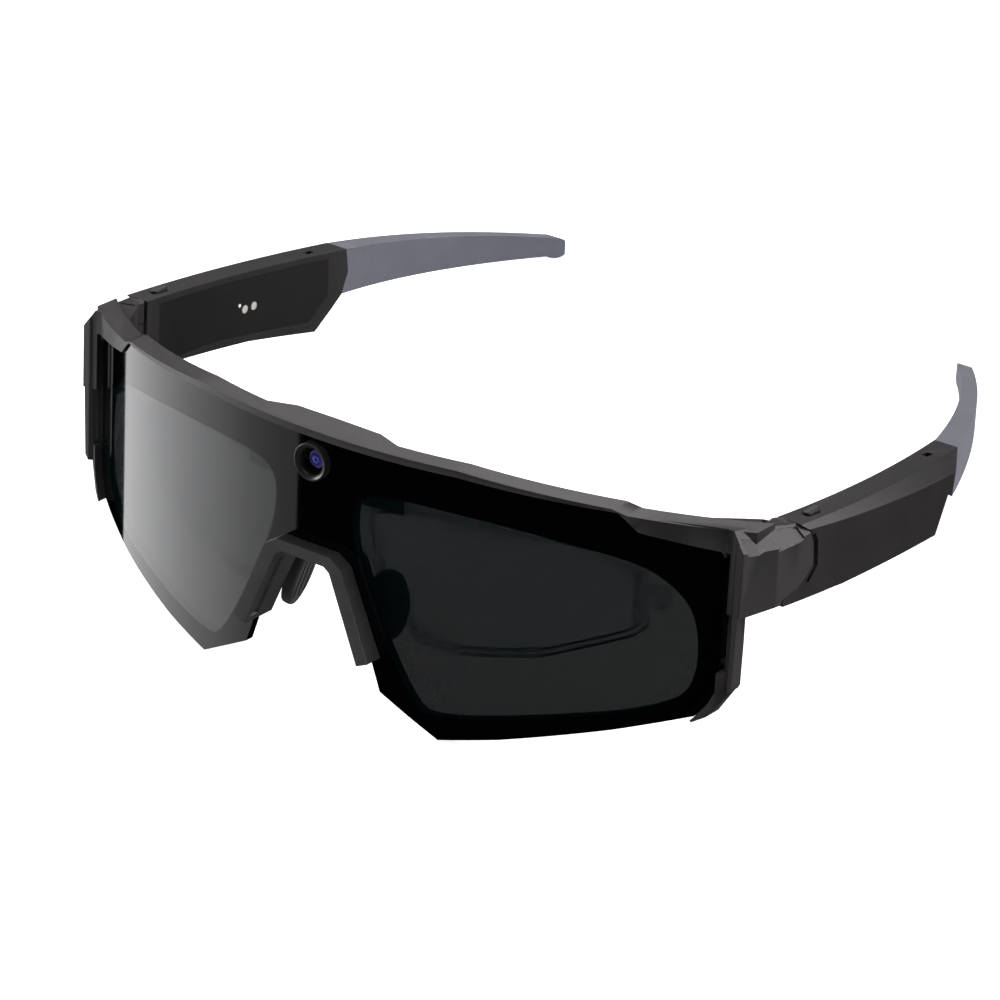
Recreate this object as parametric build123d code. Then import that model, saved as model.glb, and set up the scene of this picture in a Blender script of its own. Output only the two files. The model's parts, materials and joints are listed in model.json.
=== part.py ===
from build123d import *
import os
from math import atan2, cos, degrees, pi, radians, sin, sqrt

# Camera sunglasses: a wrap shield in a half-rim front, two folding temples that hold the electronics,
# and a clip-in carrier for prescription lenses.
# Everything is drawn in a working frame: +X is the wearer's left, -Y is forward, +Z is up, the shield
# stands upright with its foremost line at Y = 0. At the end the glasses are tipped back until they
# rest on the shield's lower corners and the temple tips, as they lie on a table.

# ---- fits ----
seam_gap = 0.30            # between the front's end lugs and the temples
groove_depth = 0.7         # of the open groove along the seam
knuckle_gap = 0.10         # above and below the hinge tongue
pin_clearance = 0.05       # hinge screw in the tongue, on the radius
button_clearance = 0.12    # around the button in its hole
rim_gap = 0.40             # between the shield's outer edge and the cheek's hook
rim_slot = 1.10            # between the shield's outer edge and the cheek bar above the hook

# ---- shield ----
shield_radius = 115.0
shield_thickness = 1.8
shield_half_width = 72.2
shield_top = 9.0
chin_x = 27.4
chin_z = -43.4
shield_edge_y = shield_radius - sqrt(shield_radius ** 2 - shield_half_width ** 2)

# ---- front frame ----
bar_top = 10.4
bar_lip = 0.5              # how far the brow bar stands proud of the shield
bar_depth = 4.1            # front to rear, on the radius
bump_half_width = 9.5
bump_run_out = 8.2
bump_rear = 6.6
bump_bottom = -2.0
lug_side = shield_half_width + 6.7   # X of the lug's outer face at the temple seam
lug_bottom = -11.0
cheek_x = shield_half_width + 4.1
cheek_y = shield_edge_y - 1.1
cheek_bottom = -31.4
hook_height = 9.0

# ---- camera ----
camera_z = 4.6
camera_radius = 3.6
mouth_depth = 0.9          # of the cone in the camera ring
camera_wall = 1.0
camera_proud = 1.6
barrel_radius = 2.2
cover_thickness = 1.0

# ---- nose ----
trim_top = -11.7
trim_half_width = 8.8
trim_band = 2.9
trim_proud = 2.9
trim_rear = 5.2
trim_groove_width = 2.4
trim_groove_depth = 0.5
leg_foot_x = 14.6
leg_foot_z = -31.8
pad_height = 13.0
pad_width = 9.0
pad_thickness = 2.4

# ---- prescription carrier ----
dock_half_width = 3.0      # the tab behind the shield that the carrier's pegs plug into
dock_bottom = -11.5
dock_rear = 4.2
peg_x = 1.8
peg_z = -6.4
carrier_offset = 7.0       # behind the shield's front face, on the radius
carrier_depth = 2.2
carrier_rim = 1.2
carrier_reach = shield_half_width - 14.8   # X of the lens openings' outer ends
peg_radius = 0.75
peg_clearance = 0.08
rx_lens_thickness = 1.5

# ---- hinge ----
hinge_x = shield_half_width + 2.3
hinge_y = shield_edge_y + 12.1
knuckle_radius = 1.5
pin_radius = 0.6
tongue_top = -1.2
tongue_height = 4.0
window_clear_z = -3.2      # nothing of the lug lies lower than this behind the window
lug_shelf = -8.3           # underside of the lug's hinge block
fold_left = 84.0
fold_right = 70.0
leaf_thickness = 1.4

# ---- temples ----
temple_length = 57.45
temple_front = hinge_y + 1.75              # Y where the temple body starts
temple_rear = temple_front + temple_length  # Y where the tip takes over, at the top
temple_top_front = 2.9
temple_top_rear = -1.9
temple_foot_z = -17.8
wall = 1.3
cover_skin = 1.0
pocket_front_y = temple_front + 3.85
pocket_rear_y = temple_rear - 4.8
battery_height = 9.0
battery_thickness = 2.4
board_start = 1.8          # from the pocket's front end
board_length = 13.0
board_thickness = 0.8
speaker_length = 5.0
speaker_start = pocket_rear_y - pocket_front_y - speaker_length - 1.2
battery_start = board_start + board_length + 1.8
battery_length = speaker_start - battery_start - 2.0

# ---- temple tips ----
tip_heading = 17.0         # degrees, inward lean where the tip starts
tip_turn = 22.0            # degrees of inward curve from there to the end
tip_radius = 134.0
tip_mid_thickness = 3.5
tip_end_thickness = 2.6
core_thickness = 0.8
core_height = 2.4
core_anchor = 4.5          # how far the steel core reaches into the temple

# ---- buttons ----
button_y = temple_front + 6.55
button_x = hinge_x + 1.5
button_length = 4.2
button_width = 1.7
button_travel = 0.4
button_proud = 0.75

# ---- charging ----
contact_y = temple_front + 30.65
contact_z = -7.4

FAR = 200.0


# ---------------------------------------------------------------- helpers
def outline_face(points):
    return make_face(Polyline(*points, close=True))


def front_prism(points, y_from, y_to):
    """An outline given as (X, Z) points, extruded along Y."""
    return extrude(Plane.XZ.offset(-y_to) * outline_face(points), amount=y_to - y_from)


def plan_prism(points, z_from, z_to):
    """An outline given as (X, Y) points, extruded along Z."""
    return extrude(Plane.XY.offset(z_from) * outline_face(points), amount=z_to - z_from)


def side_prism(points, x_from, x_to):
    """An outline given as (Y, Z) points, extruded along X."""
    return extrude(Plane.YZ.offset(x_from) * outline_face(points), amount=x_to - x_from)


def both_sides(points):
    """The half outline on +X, closed by its mirror image."""
    return points + [(-x, z) for x, z in reversed(points) if x > 0]


def mirrored(shape):
    return mirror(shape, about=Plane.YZ)


def wrap_y(x, radius):
    """Y of the wrap surface of the given radius at X."""
    return shield_radius - sqrt(radius * radius - x * x)


def wrap_disc(radius, z_from=-60.0, z_to=30.0):
    place = Pos(0, shield_radius, z_from)
    return place * Cylinder(radius, z_to - z_from, align=(Align.CENTER, Align.CENTER, Align.MIN))


def wrap_shell(outer, inner, z_from=-60.0, z_to=30.0):
    """The front half of a tube that follows the wrap of the shield."""
    tube = wrap_disc(outer, z_from, z_to) - wrap_disc(inner, z_from - 1, z_to + 1)
    return tube & box_between((-FAR, -FAR, -FAR), (FAR, shield_radius - 20, FAR))


def box_between(low, high):
    size = [b - a for a, b in zip(low, high)]
    return Pos(*low) * Box(*size, align=(Align.MIN, Align.MIN, Align.MIN))


def y_cylinder(x, z, radius, y_from, y_to):
    """A round bar along Y."""
    shape = Cylinder(radius, y_to - y_from, align=(Align.CENTER, Align.CENTER, Align.MIN))
    return Pos(x, y_to, z) * Rot(X=90) * shape


def rod(plane, radius, length):
    """A round bar that starts on the plane and runs along its normal."""
    return plane * Cylinder(radius, length, align=(Align.CENTER, Align.CENTER, Align.MIN))


def z_cylinder(x, y, radius, z_from, z_to):
    return Pos(x, y, z_from) * Cylinder(radius, z_to - z_from, align=(Align.CENTER, Align.CENTER, Align.MIN))


# ---------------------------------------------------------------- shield
def shield_outline():
    step_x = 0.78 * shield_half_width
    return both_sides([
        (0, shield_top),
        (0.40 * shield_half_width, shield_top - 0.1),
        (step_x, shield_top - 2.2),
        (0.825 * shield_half_width, 3.4),
        (shield_half_width - 0.5, 0.6),
        (shield_half_width, -0.6),
        (shield_half_width, cheek_bottom + 5.4),
        (shield_half_width - 0.9, cheek_bottom + 2.8),
        (shield_half_width - 3.2, cheek_bottom - 0.5),
        (0.79 * shield_half_width, 0.36 * chin_z + 0.64 * cheek_bottom),
        (0.53 * shield_half_width, 0.79 * chin_z + 0.21 * cheek_bottom),
        (chin_x, chin_z),
        (leg_foot_x + 1.0, leg_foot_z - 5.0),
        (trim_half_width - 1.0, trim_top - 2.6),
        (trim_half_width - 3.2, trim_top - 1.2),
        (0, trim_top - 1.2),
    ])


def make_shield():
    blank = front_prism(shield_outline(), -5, 40)
    shield = blank & wrap_shell(shield_radius, shield_radius - shield_thickness)
    return shield - y_cylinder(0, camera_z, camera_radius, -5, 10)


# ---------------------------------------------------------------- side blank: lug and temple in one
temple_slope = (temple_top_rear - temple_top_front) / (temple_rear - temple_front)


def temple_top(y):
    return temple_top_front + temple_slope * (y - temple_front)


def outer_x(y):
    """Outer face of the temple: a shallow outward bow."""
    return lug_side + 0.6 - (y - hinge_y - 20.4) ** 2 / 584.0


def crest_x(y):
    """Outer edge of the temple's top face."""
    return lug_side - 0.4 - (y - hinge_y - 12.4) ** 2 / 630.0


def inner_x(y):
    """Inner face of the temple."""
    return hinge_x - 1.0 - (y - hinge_y - 14.4) ** 2 / 562.0


def temple_band():
    """Plan of lug and temple between the inner and outer faces, from the seam to the tip."""
    y_a, y_b = temple_front - 6.0, temple_rear + 2.0
    y_m = (y_a + y_b) / 2
    outer = ThreePointArc((outer_x(y_a), y_a), (outer_x(y_m), y_m), (outer_x(y_b), y_b))
    inner = ThreePointArc((inner_x(y_b), y_b), (inner_x(y_m), y_m), (inner_x(y_a), y_a))
    return make_face([outer, Line(outer @ 1, inner @ 0), inner, Line(inner @ 1, outer @ 0)])


def top_bevel():
    """Everything under the long bevel between the temple's top and outer faces."""
    lean = 0.54
    lift = 8.0

    def start(y):
        return crest_x(y) - (lift - temple_top(y)) * lean

    y_a, y_m, y_b = temple_front - 30.0, temple_front + 20.0, temple_rear + 13.0
    edge = ThreePointArc((start(y_a), y_a), (start(y_m), y_m), (start(y_b), y_b))
    sides = Polyline(edge @ 1, (20, y_b), (20, y_a), edge @ 0)
    face = Plane.XY.offset(lift) * make_face([edge, sides])
    return extrude(face, amount=40.0, dir=(lean, 0, -1))


def temple_profile():
    """Side view of lug and temple as (Y, Z)."""
    y_front = hinge_y - 17.6
    return [
        (y_front, temple_top(y_front)),
        (temple_rear, temple_top_rear),
        (temple_rear + 0.6, temple_top_rear - 5.0),
        (temple_rear - 1.0, temple_top_rear - 9.6),
        (temple_rear - 3.6, temple_foot_z + 3.8),
        (temple_rear - 8.0, temple_foot_z),
        (temple_rear - 26.8, temple_foot_z + 3.1),
        (temple_front + 10.6, temple_foot_z + 5.2),
        (y_front, temple_foot_z + 7.4),
    ]


def lower_bevel():
    """The wedge that leaves the temple's underside facing down and outward, wider to the rear."""
    front_y, rear_y = temple_front + 7.6, temple_rear - 9.8
    a = Vector(outer_x(front_y), front_y, temple_foot_z + 5.2)
    b = Vector(outer_x(rear_y), rear_y, temple_foot_z + 2.5)
    c = Vector(inner_x(temple_rear - 8.0), temple_rear - 8.0, temple_foot_z)
    normal = (b - a).cross(c - a)
    if normal.Z > 0:
        normal = normal * -1
    return extrude(Plane(origin=a, z_dir=normal) * Rectangle(FAR, FAR), amount=40.0)


def rear_bevel():
    """The slanted cut that ends the temple's outer face ahead of its inner one."""
    a = Vector(crest_x(temple_rear), temple_rear, temple_top_rear)
    b = Vector(outer_x(temple_rear - 10.5), temple_rear - 10.5, temple_foot_z + 2.9)
    c = Vector(inner_x(temple_rear) + 1.6, temple_rear - 3.9, temple_foot_z + 3.5)
    normal = (b - a).cross(c - a)
    if normal.Y < 0:
        normal = normal * -1
    return extrude(Plane(origin=a, z_dir=normal) * Rectangle(FAR, FAR), amount=40.0)


def seam_groove():
    """The wide open groove along the upright part of the seam, in the outer face."""
    rear = hinge_y + 5.4 + seam_gap
    line = [(rear - 1.4, 0.3), (rear - 0.5, -1.4), (rear, -6.0), (rear - 2.2, -8.6)]
    back = [(rear - 1.3, -9.1), (rear + 1.0, -6.2), (rear + 0.6, -1.4), (rear - 0.3, 0.3)]
    return side_prism(line + back, outer_x(rear) - groove_depth, FAR)


def temple_blank():
    body = extrude(Plane.XY.offset(-30) * temple_band(), amount=50.0)
    body = body & side_prism(temple_profile(), hinge_x - 16, hinge_x + 16)
    return (body & top_bevel()) - lower_bevel() - rear_bevel()


def seam_profile(shift):
    """Side view of what lies in front of the seam; shift moves the seam line along Y."""
    rear = hinge_y + 5.4 + shift
    return [
        (-FAR, 30.0),
        (temple_front - seam_gap + shift, 30.0),
        (temple_front - seam_gap + shift, temple_top_front - 0.2),
        (rear - 1.6, 1.1),
        (rear - 0.5, -1.4),
        (rear, -6.0),
        (rear - 2.6, lug_shelf),
        (hinge_y - 3.2 + shift, -10.3),
        (hinge_y - 3.6 + shift, -30.0),
        (-FAR, -30.0),
    ]


skin_x = hinge_x + 2.1     # inner side of the lug's outer skin
head_side = hinge_x - 14.5  # X well inside the temple, towards the head


# ---------------------------------------------------------------- front frame
def bar_outline():
    """Front view of the brow bar: its top line steps down beyond the shield's upper corners."""
    return both_sides([
        (0, bar_top),
        (29.0, bar_top - 0.2),
        (0.765 * shield_half_width, bar_top - 2.9),
        (0.80 * shield_half_width, bar_top - 4.0),
        (cheek_x, 4.4),
        (cheek_x, -7.0),
        (0.86 * shield_half_width, -2.5),
        (45.0, 2.4),
        (0, 3.2),
    ])


def lug_plan():
    bar_rear = shield_radius - bar_depth + bar_lip
    root_x = shield_half_width - 12.2
    bend_x = shield_half_width - 5.9
    return [
        (root_x, wrap_y(root_x, shield_radius)),
        (root_x, wrap_y(root_x, bar_rear)),
        (bend_x, wrap_y(bend_x, bar_rear) + 0.8),
        (hinge_x - 3.8, hinge_y - 4.4),
        (hinge_x - 2.1, hinge_y - 1.8),
        (hinge_x - 1.1, hinge_y - 1.3),
        (hinge_x, hinge_y + knuckle_radius - 0.05),
        (skin_x, hinge_y + knuckle_radius - 0.05),
        (skin_x, hinge_y + 8.0),
        (outer_x(hinge_y + 8.0), hinge_y + 8.0),
        (outer_x(hinge_y), hinge_y),
        (lug_side - 0.7, hinge_y - 5.0),
        (cheek_x, cheek_y),
        (cheek_x - 2.6, cheek_y + 0.4),
        (shield_half_width, wrap_y(shield_half_width, shield_radius + bar_lip)),
    ]


def lug_top_cut():
    """Everything above the lug's falling top face."""
    y_far = hinge_y + 22.4
    brow = bar_top - 4.6
    rear = temple_top(y_far)
    top_line = [(10, brow + 1.1), (cheek_y + 2.6, brow - 0.9), (hinge_y, temple_top(hinge_y)), (y_far, rear)]
    return side_prism(top_line + [(y_far, 30), (10, 30)], hinge_x - 34, hinge_x + 16)


def make_lug():
    lug = plan_prism(lug_plan(), lug_bottom, 8.0) - lug_top_cut()
    lug = lug + z_cylinder(hinge_x, hinge_y, knuckle_radius, lug_shelf, temple_top(hinge_y))
    block_cut = box_between((head_side, hinge_y - 3.4, -30), (skin_x, FAR, lug_shelf))
    window_room = box_between((head_side - 8, 0, -30), (shield_half_width - 3.4, FAR, window_clear_z))
    lug = (lug - block_cut - window_room) & side_prism(seam_profile(0.0), hinge_x - 20, hinge_x + 16)
    return lug & top_bevel()


def lug_facets():
    """Two flat cuts that break the lug's upper outer corner into facets."""
    crest = (cheek_x - 2.2, cheek_y, 4.6)
    front = Plane(origin=crest, z_dir=(0.50, -0.62, 0.60))
    side = Plane(origin=(lug_side - 1.5, hinge_y - 4.4, 1.6), z_dir=(0.80, -0.10, 0.58))
    return [extrude(plane * Rectangle(60, 60), amount=20.0) for plane in (front, side)]


def sunk_face(corners, normal, depth):
    """A shallow pocket under the flat face through the first corner."""
    first, out = Vector(*corners[0]), Vector(*normal).normalized()
    flat = [Vector(*p) - out * (Vector(*p) - first).dot(out) for p in corners]
    face = make_face(Polyline(*flat, close=True))
    return extrude(face, amount=depth, dir=-out) + extrude(face, amount=4.0, dir=out)


def lug_recesses():
    """The two sunk faces that leave a raised chevron round the lug's outer corner."""
    x, y = hinge_x, hinge_y
    front = [(x + 0.35, y - 12.3, 3.75), (x + 2.05, y - 12.2, 0.85), (x + 3.3, y - 6.8, -0.1), (x + 1.75, y - 9.4, 3.35)]
    side = [(x + 1.9, y - 3.4, 3.2), (x + 3.4, y - 3.3, 1.1), (x + 3.6, y - 5.4, -0.7), (x + 4.5, y + 2.4, -0.9),
            (x + 4.15, y + 1.9, 1.0), (x + 3.05, y + 1.3, 2.5)]
    return [sunk_face(front, (0.83, -0.32, 0.46), 0.5), sunk_face(side, (0.80, -0.10, 0.58), 0.35)]


def make_cheek():
    """The bar that hangs down outside the shield and hooks round its lower outer corner."""
    bar_x = shield_half_width + rim_slot
    hook_x = shield_half_width + rim_gap
    hook_top = cheek_bottom + hook_height
    plan = [
        (hook_x, cheek_y + 1.6),
        (cheek_x - 1.5, cheek_y),
        (cheek_x, cheek_y),
        (cheek_x - 0.5, cheek_y + 2.8),
        (hook_x, cheek_y + 4.6),
    ]
    front = [
        (bar_x, 3.0),
        (cheek_x, 3.0),
        (cheek_x - 0.7, cheek_bottom + 6.5),
        (shield_half_width - 0.6, cheek_bottom + 0.2),
        (shield_half_width - 2.6, cheek_bottom - 0.9),
        (shield_half_width - 2.9, cheek_bottom - 0.6),
        (shield_half_width - 0.6, cheek_bottom + 2.5),
        (hook_x, cheek_bottom + 5.1),
        (hook_x, hook_top),
        (bar_x, hook_top + 0.8),
    ]
    hook = wrap_shell(shield_radius + 1.6, shield_radius - shield_thickness - 1.8, -40, hook_top)
    hook = hook & box_between((shield_half_width - 6, 0, -40), (cheek_x, cheek_y + 2.6, 0))
    bar = plan_prism(plan, cheek_bottom + 5.4, 3.0)
    return front_prism(front, cheek_y - 15, cheek_y + 15) & (bar + hook)


def shield_seat():
    """The shield's whole space, open towards the front."""
    return front_prism(shield_outline(), -5, 40) & wrap_shell(shield_radius + 6, shield_radius - shield_thickness)


def make_front_frame():
    shell = wrap_shell(shield_radius + bar_lip, shield_radius + bar_lip - bar_depth)
    frame = front_prism(bar_outline(), -5, 60) & shell
    bump_plan = [
        (-bump_half_width - bump_run_out, 2.0), (bump_half_width + bump_run_out, 2.0),
        (bump_half_width + bump_run_out, 3.6), (bump_half_width, bump_rear),
        (-bump_half_width, bump_rear), (-bump_half_width - bump_run_out, 3.6),
    ]
    bump = plan_prism(bump_plan, bump_bottom, bar_top) & wrap_disc(shield_radius - shield_thickness)
    dock = box_between((-dock_half_width, 1.0, dock_bottom), (dock_half_width, dock_rear, bump_bottom))
    dock = dock & wrap_disc(shield_radius - shield_thickness)
    for x in (-peg_x, peg_x):
        dock = dock - y_cylinder(x, peg_z, peg_radius + peg_clearance, dock_rear - 1.3, dock_rear + 1)
    below_top = front_prism(both_sides([(0, bar_top), (29.0, bar_top - 0.2), (29.0, -30), (0, -30)]), -5, 20)
    frame = frame + (bump & below_top) + dock
    sides = make_lug() + make_cheek()
    for cut in lug_facets() + lug_recesses():
        sides = sides - cut
    frame = frame + sides + mirrored(sides)
    frame = frame - shield_seat() - y_cylinder(0, camera_z, camera_radius, -5, 3.4)
    frame = frame - y_cylinder(0, camera_z, barrel_radius, -5, 10)
    frame = frame - camera_bay() - cover_plate()
    cuts = hinge_cuts() + lug_slot() + edge_slot()
    return frame - cuts - mirrored(cuts)


def camera_bay():
    return box_between((-6.0, 3.4, camera_z - 4.4), (6.0, bump_rear - cover_thickness, camera_z + 3.8))


def cover_plate():
    return box_between((-7.5, bump_rear - cover_thickness, -1.0), (7.5, bump_rear, camera_z + 4.6))


def hinge_cuts():
    """The slot for the temple's tongue, the screw's bore and its counterbore."""
    low = tongue_top - tongue_height - knuckle_gap
    front = hinge_y - knuckle_radius - 0.3
    slot = box_between((head_side, front, low), (skin_x - 0.01, FAR, tongue_top + knuckle_gap))
    bore = z_cylinder(hinge_x, hinge_y, pin_radius, lug_shelf - 1, tongue_top + 2.2)
    head = z_cylinder(hinge_x, hinge_y, 2 * pin_radius, lug_shelf - 1, lug_shelf + 0.8)
    return slot + bore + head


def edge_slot():
    """The slot between the shield's side edge and the cheek's bar, carried up into the lug."""
    return box_between((shield_half_width, 0, lug_bottom - 1), (shield_half_width + rim_slot, cheek_y + 2.4, 0.6))


def lug_slot():
    """The small curved slot in the lug's top face."""
    y = hinge_y - 3.2
    return Pos(hinge_x - 0.6, y, temple_top(y) - 0.2) * Rot(Z=-35) * Box(2.8, 0.8, 1.6)


# ---------------------------------------------------------------- camera
def make_camera_parts():
    ring = y_cylinder(0, camera_z, camera_radius, -camera_proud, 3.4)
    ring = ring - y_cylinder(0, camera_z, camera_radius - camera_wall, -5, 10)
    mouth = Cone(camera_radius - 1.6, camera_radius - 0.35, mouth_depth)
    mouth = Pos(0, mouth_depth / 2 - camera_proud, camera_z) * Rot(X=90) * mouth
    window_radius = camera_radius - camera_wall
    window = y_cylinder(0, camera_z, window_radius, -0.3, 0.5)
    barrel = y_cylinder(0, camera_z, barrel_radius, 0.9, 4.6)
    barrel = barrel - y_cylinder(0, camera_z, 1.5, 0, 2.4)
    element = y_cylinder(0, camera_z, 1.5, 1.3, 2.4)
    element = fillet(element.edges().group_by(Axis.Y)[0], 0.7)
    board = box_between((-5.0, 4.6, camera_z - 3.8), (5.0, 5.4, camera_z + 3.4))
    return {
        "camera_ring": ring - mouth,
        "camera_window": window,
        "camera_barrel": barrel,
        "camera_lens": element,
        "camera_board": board,
        "camera_cover": cover_plate(),
    }


# ---------------------------------------------------------------- nose
def trim_half():
    """Front view of one side of the nose trim: brow piece and leg."""
    return [
        (0, trim_top),
        (trim_half_width - 2.8, trim_top),
        (trim_half_width, trim_top - 1.8),
        (leg_foot_x + 1.0, leg_foot_z + 1.8),
        (leg_foot_x - 1.6, leg_foot_z + 0.6),
        (trim_half_width - trim_band + 0.2, trim_top - trim_band - 0.3),
        (trim_half_width - 4.0, trim_top - trim_band + 0.6),
        (0, trim_top - trim_band + 0.6),
    ]


def make_nose_trim(shield):
    trim = front_prism(both_sides(trim_half()), -trim_proud, trim_rear) - shield - dock_room()
    groove = trim_groove()
    return trim - groove - mirrored(groove)


def trim_groove():
    """The shallow groove along the inner side of one leg, near its front edge."""
    (foot_x, foot_z), (top_x, top_z) = trim_half()[4:6]
    top, foot = Vector(top_x, 0, top_z), Vector(foot_x, 0, foot_z)
    along = (foot - top).normalized()
    length = (foot - top).length - 3.0
    block = Box(trim_groove_width, length, 2 * trim_groove_depth)
    centre = (top + foot) / 2 + Vector(0, 0.9 - trim_proud + trim_groove_width / 2, 0)
    return Plane(origin=centre, x_dir=(0, 1, 0), z_dir=Vector(0, 1, 0).cross(along)) * block


def dock_room():
    return box_between((-dock_half_width, 1.0, dock_bottom - 0.7), (dock_half_width, dock_rear, 0))


def make_nose_pad():
    """A rubber pad on a short arm that is stuck to the rear of the trim's leg."""
    foot = Vector(11.2, trim_rear, -22.6)
    face_dir = Vector(-0.94, 0.22, -0.26).normalized()
    up_dir = Vector(-0.22, 0.25, 0.94)
    up_dir = (up_dir - face_dir * up_dir.dot(face_dir)).normalized()
    centre = Vector(11.4, 9.4, -23.8)
    plane = Plane(origin=centre, x_dir=up_dir, z_dir=face_dir)
    pad = extrude(plane * Ellipse(pad_height / 2, pad_width / 2), amount=pad_thickness)
    pad = fillet(pad.edges(), 0.8)
    for step in (-2.2, 0, 2.2):
        pad = pad - plane * Pos(0, step, pad_thickness) * Box(pad_height - 4.0, 0.6, 0.7)
    root = foot + Vector(0.6, 0, 0)
    reach = (centre - root).length + 1.2
    arm = rod(Plane(origin=root, z_dir=centre - root), 1.1, reach)
    return (pad + arm) - box_between((-FAR, -FAR, -FAR), (FAR, trim_rear, FAR))


# ---------------------------------------------------------------- prescription carrier
def carrier_region(inset):
    """Front view of one lens opening of the carrier."""
    outer = carrier_reach
    points = [(6.0, -5.2), (15.0, -2.2), (outer - 12.4, -2.4), (outer - 0.8, -6.2), (outer, -19.4),
              (outer - 16.4, -26.4), (27.0, -28.8), (18.0, -28.0), (8.0, -14.0)]
    outline = make_face(FilletPolyline(*points, radius=3.0, close=True))
    return offset(outline, amount=-inset) if inset else outline


def make_carrier():
    outer_r = shield_radius - carrier_offset + carrier_depth / 2
    inner_r = outer_r - carrier_depth
    shell = wrap_shell(outer_r, inner_r)
    lens_shell = wrap_shell(outer_r - 0.35, outer_r - 0.35 - rx_lens_thickness)

    def prism(face):
        return extrude(Plane.XZ.offset(-40.0) * face, amount=40.0)

    hole = prism(carrier_region(carrier_rim))
    rim = (prism(carrier_region(0.0)) & shell) - (hole & shell)
    lens = hole & lens_shell
    outer = carrier_reach
    hook_points = [(outer - 1.4, -10.0), (outer + 3.0, -10.6), (outer + 3.0, -14.2), (outer + 1.4, -14.2),
                   (outer + 1.4, -12.0), (outer - 1.4, -11.6)]
    hook = front_prism(hook_points, 0, 60) & shell
    bridge_half = [(0, -3.6), (4.6, -4.4), (7.6, -6.4), (9.0, -10.5), (9.6, -14.5), (7.4, -13.0), (5.6, -9.4),
                   (3.4, -8.6), (0, -8.6)]
    bridge_front = dock_rear + 1.4
    bridge = front_prism(both_sides(bridge_half), bridge_front, 8.8)
    side = rim + hook
    frame = side + mirrored(side) + bridge
    pegs = [y_cylinder(x, peg_z, peg_radius, dock_rear - 1.0, bridge_front) for x in (-peg_x, peg_x)]
    frame = frame - lens - mirrored(lens)
    return frame + pegs[0] + pegs[1], lens


# ---------------------------------------------------------------- temples
floor_front = Vector(lug_side - 1.3, pocket_front_y, -5.6)
floor_rear = Vector(lug_side - 2.9, pocket_rear_y, -5.6 + temple_slope * (pocket_rear_y - pocket_front_y))


def floor_plane(distance):
    """On the pocket's flat outer wall: local X runs rearward, local Z points to the wearer's head."""
    along = (floor_rear - floor_front).normalized()
    inward = Vector(-along.Y, along.X, 0).normalized()
    return Plane(origin=floor_front + along * distance, x_dir=along, z_dir=inward)


def floor_box(start, length, height, thickness, rise=0.0, lift=0.0):
    """A block on the pocket's flat outer wall; rise is up, lift is off the wall."""
    plane = floor_plane(start)
    place = Pos(0, -rise, lift) if plane.y_dir.Z < 0 else Pos(0, rise, lift)
    return plane * place * Box(length, height, thickness, align=(Align.MIN, Align.CENTER, Align.MIN))


def pocket_profile():
    """Side view of the electronics pocket as (Y, Z)."""
    return [
        (pocket_front_y, temple_top(pocket_front_y) - wall),
        (pocket_rear_y, temple_top(pocket_rear_y) - wall),
        (pocket_rear_y, temple_foot_z + 7.0),
        (pocket_rear_y - 5.0, temple_foot_z + 2.4),
        (pocket_front_y + 16.8, temple_foot_z + 5.8),
        (pocket_front_y, temple_foot_z + 6.4),
    ]


def make_shells(blank):
    """The housing, hollowed from the inside, and the cover that closes it."""
    housing = blank - side_prism(seam_profile(seam_gap), hinge_x - 16, hinge_x + 16)
    block_low = lug_shelf - seam_gap
    block_x = skin_x - 0.25
    inner_front = blank & box_between((head_side, temple_front, block_low), (block_x, hinge_y + 9, 30))
    lug_room = box_between((head_side, -FAR, block_low), (block_x, temple_front, 30))
    below = box_between((head_side, -FAR, -30), (hinge_x + 0.7, temple_front, 30))
    housing = (housing + inner_front) - lug_room - below - seam_groove()

    opening = side_prism(pocket_profile(), head_side, hinge_x + 16)
    floor = [(head_side, pocket_front_y), (floor_front.X, pocket_front_y), (floor_rear.X, pocket_rear_y),
             (head_side, pocket_rear_y)]
    housing = housing - (plan_prism(floor, -30, 30) & opening)

    middle_y = (pocket_front_y + pocket_rear_y) / 2
    edge = ThreePointArc(*[(inner_x(y) + cover_skin, y) for y in (pocket_front_y, middle_y, pocket_rear_y)])
    sides = Polyline(edge @ 1, (head_side, pocket_rear_y), (head_side, pocket_front_y), edge @ 0)
    skin = extrude(Plane.XY.offset(-30) * make_face([edge, sides]), amount=60.0)
    return housing, blank & opening & skin


def make_leaf():
    """The hinge leaf: a barrel round the screw and a plate let into the housing."""
    low = tongue_top - tongue_height
    plate = box_between((hinge_x, hinge_y, low), (hinge_x + leaf_thickness, pocket_front_y + 1.0, tongue_top))
    leaf = z_cylinder(hinge_x, hinge_y, knuckle_radius, low, tongue_top) + plate
    return leaf - z_cylinder(hinge_x, hinge_y, pin_radius + pin_clearance, -20, 20), plate


def make_button():
    """The side button, and the hole it slides in."""
    top = temple_top(button_y)
    under = top - wall
    stem = stadium(button_length, button_width, under - 0.1, top + button_proud)
    flange = stadium(button_length + 1.0, button_width + 0.5, under - 1.0, under - 0.1)
    button = fillet(stem.edges().group_by(Axis.Z)[-1], 0.3) + flange
    well = stadium(button_length + 2 * button_clearance, button_width + 2 * button_clearance, top - 3, 10)
    room = stadium(button_length + 1.5, button_width + 0.8, under - 0.9, under)
    return button, well + room


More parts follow.
